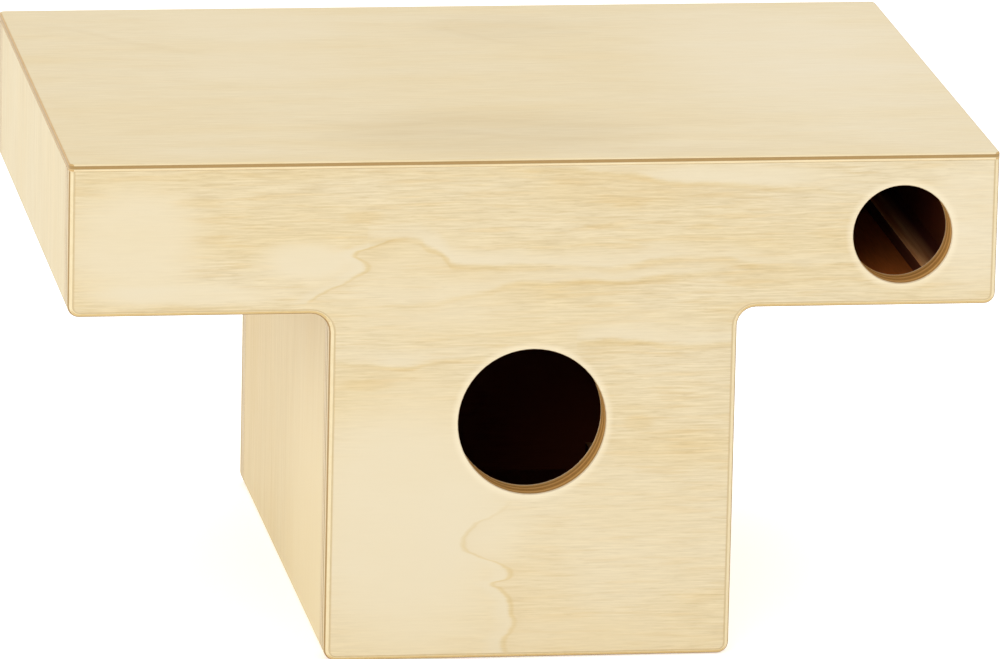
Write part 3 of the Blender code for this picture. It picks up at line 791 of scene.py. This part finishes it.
def pierced_plate(name, half_x, half_y):
    """A pressed plate with rounded corners and a round hole for each of its two screws."""
    curve = bpy.data.curves.new(name, "CURVE")
    curve.dimensions = "2D"
    curve.fill_mode = "BOTH"
    curve.extrude = PLATE_THICKNESS / 2
    outlines = [rounded_rectangle(half_x, half_y, PLATE_CORNER)]
    screw_y = (SCREW_LOW.y + SCREW_HIGH.y) / 2
    angles = [step * math.tau / PLATE_HOLE_SIDES for step in range(PLATE_HOLE_SIDES)]
    for y in (-screw_y, screw_y):
        outlines.append([
            (PLATE_HOLE_RADIUS * math.cos(a), y + PLATE_HOLE_RADIUS * math.sin(a)) for a in angles])
    for outline in outlines:
        spline = curve.splines.new("POLY")
        spline.points.add(len(outline) - 1)
        for point, (x, y) in zip(spline.points, outline):
            point.co = (x, y, 0.0, 1.0)
        spline.use_cyclic_u = True
    guide = bpy.data.objects.new(name + "_outline", curve)
    bpy.context.scene.collection.objects.link(guide)
    bpy.context.view_layer.update()
    mesh = bpy.data.meshes.new_from_object(guide.evaluated_get(bpy.context.evaluated_depsgraph_get()))
    bpy.data.objects.remove(guide, do_unlink=True)
    welded = bmesh.new()
    welded.from_mesh(mesh)
    bmesh.ops.remove_doubles(welded, verts=welded.verts, dist=WELD_REACH)
    bmesh.ops.recalc_face_normals(welded, faces=welded.faces)
    welded.to_mesh(mesh)
    welded.free()
    return mesh


def wound_coils(name, start, end, length):
    """Wire coils side by side over a length of the plate, each wound from start to end."""
    snares = bpy.context.scene.cajon_snares
    axis = end - start
    turns = axis.length / snares.coil_pitch
    steps = int(turns * COIL_TURN_STEPS)
    side = Vector((0.0, 1.0, 0.0))
    upward = axis.normalized().cross(side)
    winding = snares.coil_radius - snares.wire_radius
    coils = bpy.data.curves.new(name, "CURVE")
    coils.dimensions = "3D"
    coils.bevel_depth = snares.wire_radius
    coils.bevel_resolution = 1
    coils.use_fill_caps = True
    spacing = length / snares.coil_count
    for index in range(snares.coil_count):
        shift = side * ((index - (snares.coil_count - 1) / 2) * spacing)
        spline = coils.splines.new("POLY")
        spline.points.add(steps)
        for step, point in enumerate(spline.points):
            angle = math.tau * turns * step / steps
            turn = side * (winding * math.cos(angle)) + upward * (winding * math.sin(angle))
            point.co = (*(start + shift + axis * (step / steps) + turn), 1.0)
    return coils


class CAJON_OT_finish_panels(bpy.types.Operator):
    """Veneer the front and back panels and show their plies"""

    bl_idname = "cajon.finish_panels"
    bl_label = "Finish the Front and Back Panels"

    def execute(self, context):
        face = context.scene.cajon_wood.panel_face
        dress(plywood("birch_plywood_satin_front", face, "Y", "X", DEPTH_HALF, -1.0, PANEL_PLIES, 4.0,
                      FRONT_FIGURE), "front_panel")
        dress(plywood("birch_plywood_satin_back", face, "Y", "X", DEPTH_HALF, -1.0, PANEL_PLIES, 57.0,
                      BACK_FIGURE), "back_panel")
        return {"FINISHED"}


class CAJON_OT_finish_board(bpy.types.Operator):
    """Veneer the playing board and show its brown core at the edge"""

    bl_idname = "cajon.finish_board"
    bl_label = "Finish the Playing Board"

    def execute(self, context):
        dress(plywood("birch_three_ply_satin_playing_board", context.scene.cajon_wood.board_face,
                      "Z", "X", BOARD_HIGH.z, -1.0, BOARD_PLIES, 91.0, BOARD_FIGURE), "top_board")
        return {"FINISHED"}


class CAJON_OT_finish_walls(bpy.types.Operator):
    """Veneer the arm ends, arm floors, leg sides and leg bottom"""

    bl_idname = "cajon.finish_walls"
    bl_label = "Finish the Ends, Floors, Sides and Bottom"

    def execute(self, context):
        wood = context.scene.cajon_wood
        dress(plywood("birch_plywood_satin_arm_ends", wood.end_face, "X", "Z", ARM_HALF, -1.0,
                      PANEL_PLIES, 13.0, END_FIGURE), "arm_end_left", "arm_end_right")
        dress(plywood("birch_plywood_satin_leg_sides", wood.wall_face, "X", "Z", LEG_HALF, -1.0,
                      WALL_PLIES, 29.0, SIDE_FIGURE), "leg_side_left", "leg_side_right")
        dress(plywood("birch_plywood_satin_arm_floors", wood.wall_face, "Z", "Y", -ARM_UNDERSIDE, 1.0,
                      WALL_PLIES, 37.0, FLOOR_FIGURE), "arm_floor_left", "arm_floor_right")
        dress(plywood("birch_plywood_satin_leg_bottom", wood.wall_face, "Z", "Y", 0.0, 1.0,
                      WALL_PLIES, 41.0, PLAIN_FIGURE), "leg_bottom")
        return {"FINISHED"}


class CAJON_OT_finish_battens(bpy.types.Operator):
    """Give the inner battens and the snare rail their raw pine"""

    bl_idname = "cajon.finish_battens"
    bl_label = "Finish the Battens and the Rail"

    def execute(self, context):
        pine = planed_pine("planed_pine_raw")
        dress(pine, "arm_batten_left", "arm_batten_right", "leg_batten_left", "leg_batten_right",
              "snare_rail")
        return {"FINISHED"}


class CAJON_OT_fill_glue_lines(bpy.types.Operator):
    """Fill the joints between the boards with set glue"""

    bl_idname = "cajon.fill_glue_lines"
    bl_label = "Fill the Glue Lines"

    def execute(self, context):
        glue = set_wood_glue("wood_glue_set")
        low = PANEL_HIGH.z + GLUE_SLACK
        high = BOARD_LOW.z - GLUE_SLACK
        mesh = flat_ring("glue_line_board", board_outline(GLUE_SUNK), board_outline(GLUE_DEEP), low, high)
        new_piece("glue_line_board", mesh, glue)
        inner_face = DEPTH_HALF - PANEL_THICKNESS
        for word, side in (("front", -1), ("back", 1)):
            name = "glue_line_" + word
            near = inner_face - GLUE_GAP + GLUE_SLACK
            far = inner_face - GLUE_SLACK
            mesh = flat_ring(name, t_outline(GLUE_SUNK), t_outline(GLUE_DEEP), near, far)
            mesh.transform(Matrix.Rotation(math.radians(90), 4, "X"))
            if side > 0:
                mesh.transform(Matrix.Rotation(math.radians(180), 4, "Z"))
            new_piece(name, mesh, glue)
        reach = inner_face - GLUE_GAP - GLUE_SLACK
        boxes = []
        for side in (-1, 1):
            joints = (
                (FLOOR_HIGH.x, END_LOW.x, FLOOR_LOW.z, FLOOR_HIGH.z),
                (SIDE_HIGH.x, FLOOR_LOW.x, FLOOR_LOW.z, FLOOR_HIGH.z),
                (BOTTOM_HIGH.x, SIDE_LOW.x, BOTTOM_LOW.z, BOTTOM_HIGH.z),
            )
            for near, far, bottom, top in joints:
                left, right = sorted((side * (near + GLUE_SLACK), side * (far - GLUE_SLACK)))
                boxes.append(((left, -reach, bottom + GLUE_SUNK), (right, reach, top - GLUE_SUNK)))
        new_piece("glue_lines_below", strips_mesh("glue_lines_below", boxes), glue)
        return {"FINISHED"}


class CAJON_OT_wind_snares(bpy.types.Operator):
    """Make the snare plate and wind its coils, in place of the plain strip"""

    bl_idname = "cajon.wind_snares"
    bl_label = "Wind the Snare Coils"

    def execute(self, context):
        coil_radius = context.scene.cajon_snares.coil_radius
        zinc = bright_zinc("zinc_plated_steel_bright")
        rail_x = (RAIL_LOW.x + RAIL_HIGH.x) / 2
        plate_half = rail_x - STRIP_LOW.x
        plate_low = RAIL_HIGH.z + GLUE_GAP
        plate_high = plate_low + PLATE_THICKNESS
        plate_length = STRIP_HIGH.y - STRIP_LOW.y
        mesh = pierced_plate("snare_plate", plate_half, plate_length / 2)
        mesh.transform(Matrix.Translation((rail_x, 0.0, (plate_low + plate_high) / 2)))
        plate = new_piece("snare_plate", mesh, zinc)

        start = Vector((rail_x + plate_half - COIL_ON_PLATE, 0.0, plate_high + coil_radius - COIL_PRESSED_IN))
        end = Vector((STRIP_HIGH.x - COIL_FREE_END, 0.0, STRIP_HIGH.z - coil_radius))
        coils = wound_coils("snare_coils", start, end, plate_length)
        coil_piece = new_piece("snare_coils", coils, zinc)
        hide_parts("snare_strip")
        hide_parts("snare_strip")
        dress(zinc, "snare_screw_front", "snare_screw_back")
        return {"FINISHED"}


class CAJON_OT_set_stage(bpy.types.Operator):
    """Lay the pale floor, hang the soft lights and place the camera"""

    bl_idname = "cajon.set_stage"
    bl_label = "Set the Stage"

    def execute(self, context):
        stage = context.scene.cajon_stage
        link = context.scene.collection.objects.link
        disc = bmesh.new()
        bmesh.ops.create_circle(disc, cap_ends=True, segments=FLOOR_SIDES, radius=stage.floor_radius)
        mesh = bpy.data.meshes.new("studio_floor")
        disc.to_mesh(mesh)
        disc.free()
        floor = bpy.data.objects.new("studio_floor", mesh)
        # A hair under the leg, so that the two faces don't share one plane
        floor.location.z = -FLOOR_DROP
        link(floor)
        mesh.materials.append(opal_acrylic("opal_acrylic_matt_lit"))

        world = bpy.data.worlds.new("studio_room")
        world.use_nodes = True
        room = world.node_tree.nodes["Background"].inputs
        room["Color"].default_value = (1.0, 1.0, 1.0, 1.0)
        room["Strength"].default_value = stage.room_light
        context.scene.world = world

        # Each light is a square: its name, place, width and power. All point at the drum's middle.
        centre = Vector((0.0, 0.0, BOARD_HIGH.z / 2))
        lights = (
            ("key_light", (-1.2, -3.6, 1.7), 1.2, stage.key_power),
            ("side_light", (-3.4, -0.6, 0.8), 2.0, stage.side_power),
            ("top_light", (0.2, 0.6, 3.2), 2.4, stage.top_power),
        )
        for name, place, size, power in lights:
            lamp = bpy.data.lights.new(name, "AREA")
            lamp.shape = "SQUARE"
            lamp.size = size
            lamp.energy = power
            light = bpy.data.objects.new(name, lamp)
            light.location = place
            light.rotation_euler = (centre - Vector(place)).to_track_quat("-Z", "Y").to_euler()
            link(light)

        # The camera stands where the photograph's straight edges put it.
        turn, drop, roll = stage.camera_azimuth, stage.camera_elevation, stage.camera_roll
        forward = Vector((
            math.sin(turn) * math.cos(drop), math.cos(turn) * math.cos(drop), -math.sin(drop)))
        level = Vector((math.cos(turn), -math.sin(turn), 0.0))
        upright = level.cross(forward)
        right = level * math.cos(roll) + upright * math.sin(roll)
        above = upright * math.cos(roll) - level * math.sin(roll)
        lens = bpy.data.cameras.new("studio_camera")
        lens.sensor_width = SENSOR_WIDTH
        lens.sensor_fit = "HORIZONTAL"
        lens.lens = stage.focal_length
        lens.clip_end = CLIP_END
        camera = bpy.data.objects.new("studio_camera", lens)
        turned = Matrix((right, above, -forward)).transposed().to_4x4()
        camera.matrix_world = Matrix.Translation(stage.camera_place) @ turned
        link(camera)
        context.scene.camera = camera
        context.scene.view_settings.view_transform = "Standard"
        return {"FINISHED"}


class CAJON_PT_sidebar(bpy.types.Panel):
    """Lists the steps that dress the cajon"""

    bl_label = "Lap Cajon"
    bl_idname = "CAJON_PT_sidebar"
    bl_space_type = "VIEW_3D"
    bl_region_type = "UI"
    bl_category = "Cajon"

    def draw(self, context):
        for operator in OPERATORS:
            self.layout.operator(operator.bl_idname)
        for settings in (context.scene.cajon_wood, context.scene.cajon_snares, context.scene.cajon_stage):
            box = self.layout.box()
            for name in settings.__annotations__:
                box.prop(settings, name)


OPERATORS = (
    CAJON_OT_finish_panels,
    CAJON_OT_finish_board,
    CAJON_OT_finish_walls,
    CAJON_OT_finish_battens,
    CAJON_OT_fill_glue_lines,
    CAJON_OT_wind_snares,
    CAJON_OT_set_stage,
)
CLASSES = (CajonWood, CajonSnares, CajonStage, *OPERATORS, CAJON_PT_sidebar)
SETTINGS = {"cajon_wood": CajonWood, "cajon_snares": CajonSnares, "cajon_stage": CajonStage}


def register():
    for cls in CLASSES:
        bpy.utils.register_class(cls)
    for name, group in SETTINGS.items():
        setattr(bpy.types.Scene, name, bpy.props.PointerProperty(type=group))


def unregister():
    for name in SETTINGS:
        delattr(bpy.types.Scene, name)
    for cls in reversed(CLASSES):
        bpy.utils.unregister_class(cls)


def main():
    register()
    bpy.ops.cajon.finish_panels()
    bpy.ops.cajon.finish_board()
    bpy.ops.cajon.finish_walls()
    bpy.ops.cajon.finish_battens()
    bpy.ops.cajon.fill_glue_lines()
    bpy.ops.cajon.wind_snares()
    bpy.ops.cajon.set_stage()


if __name__ == "__main__":
    main()
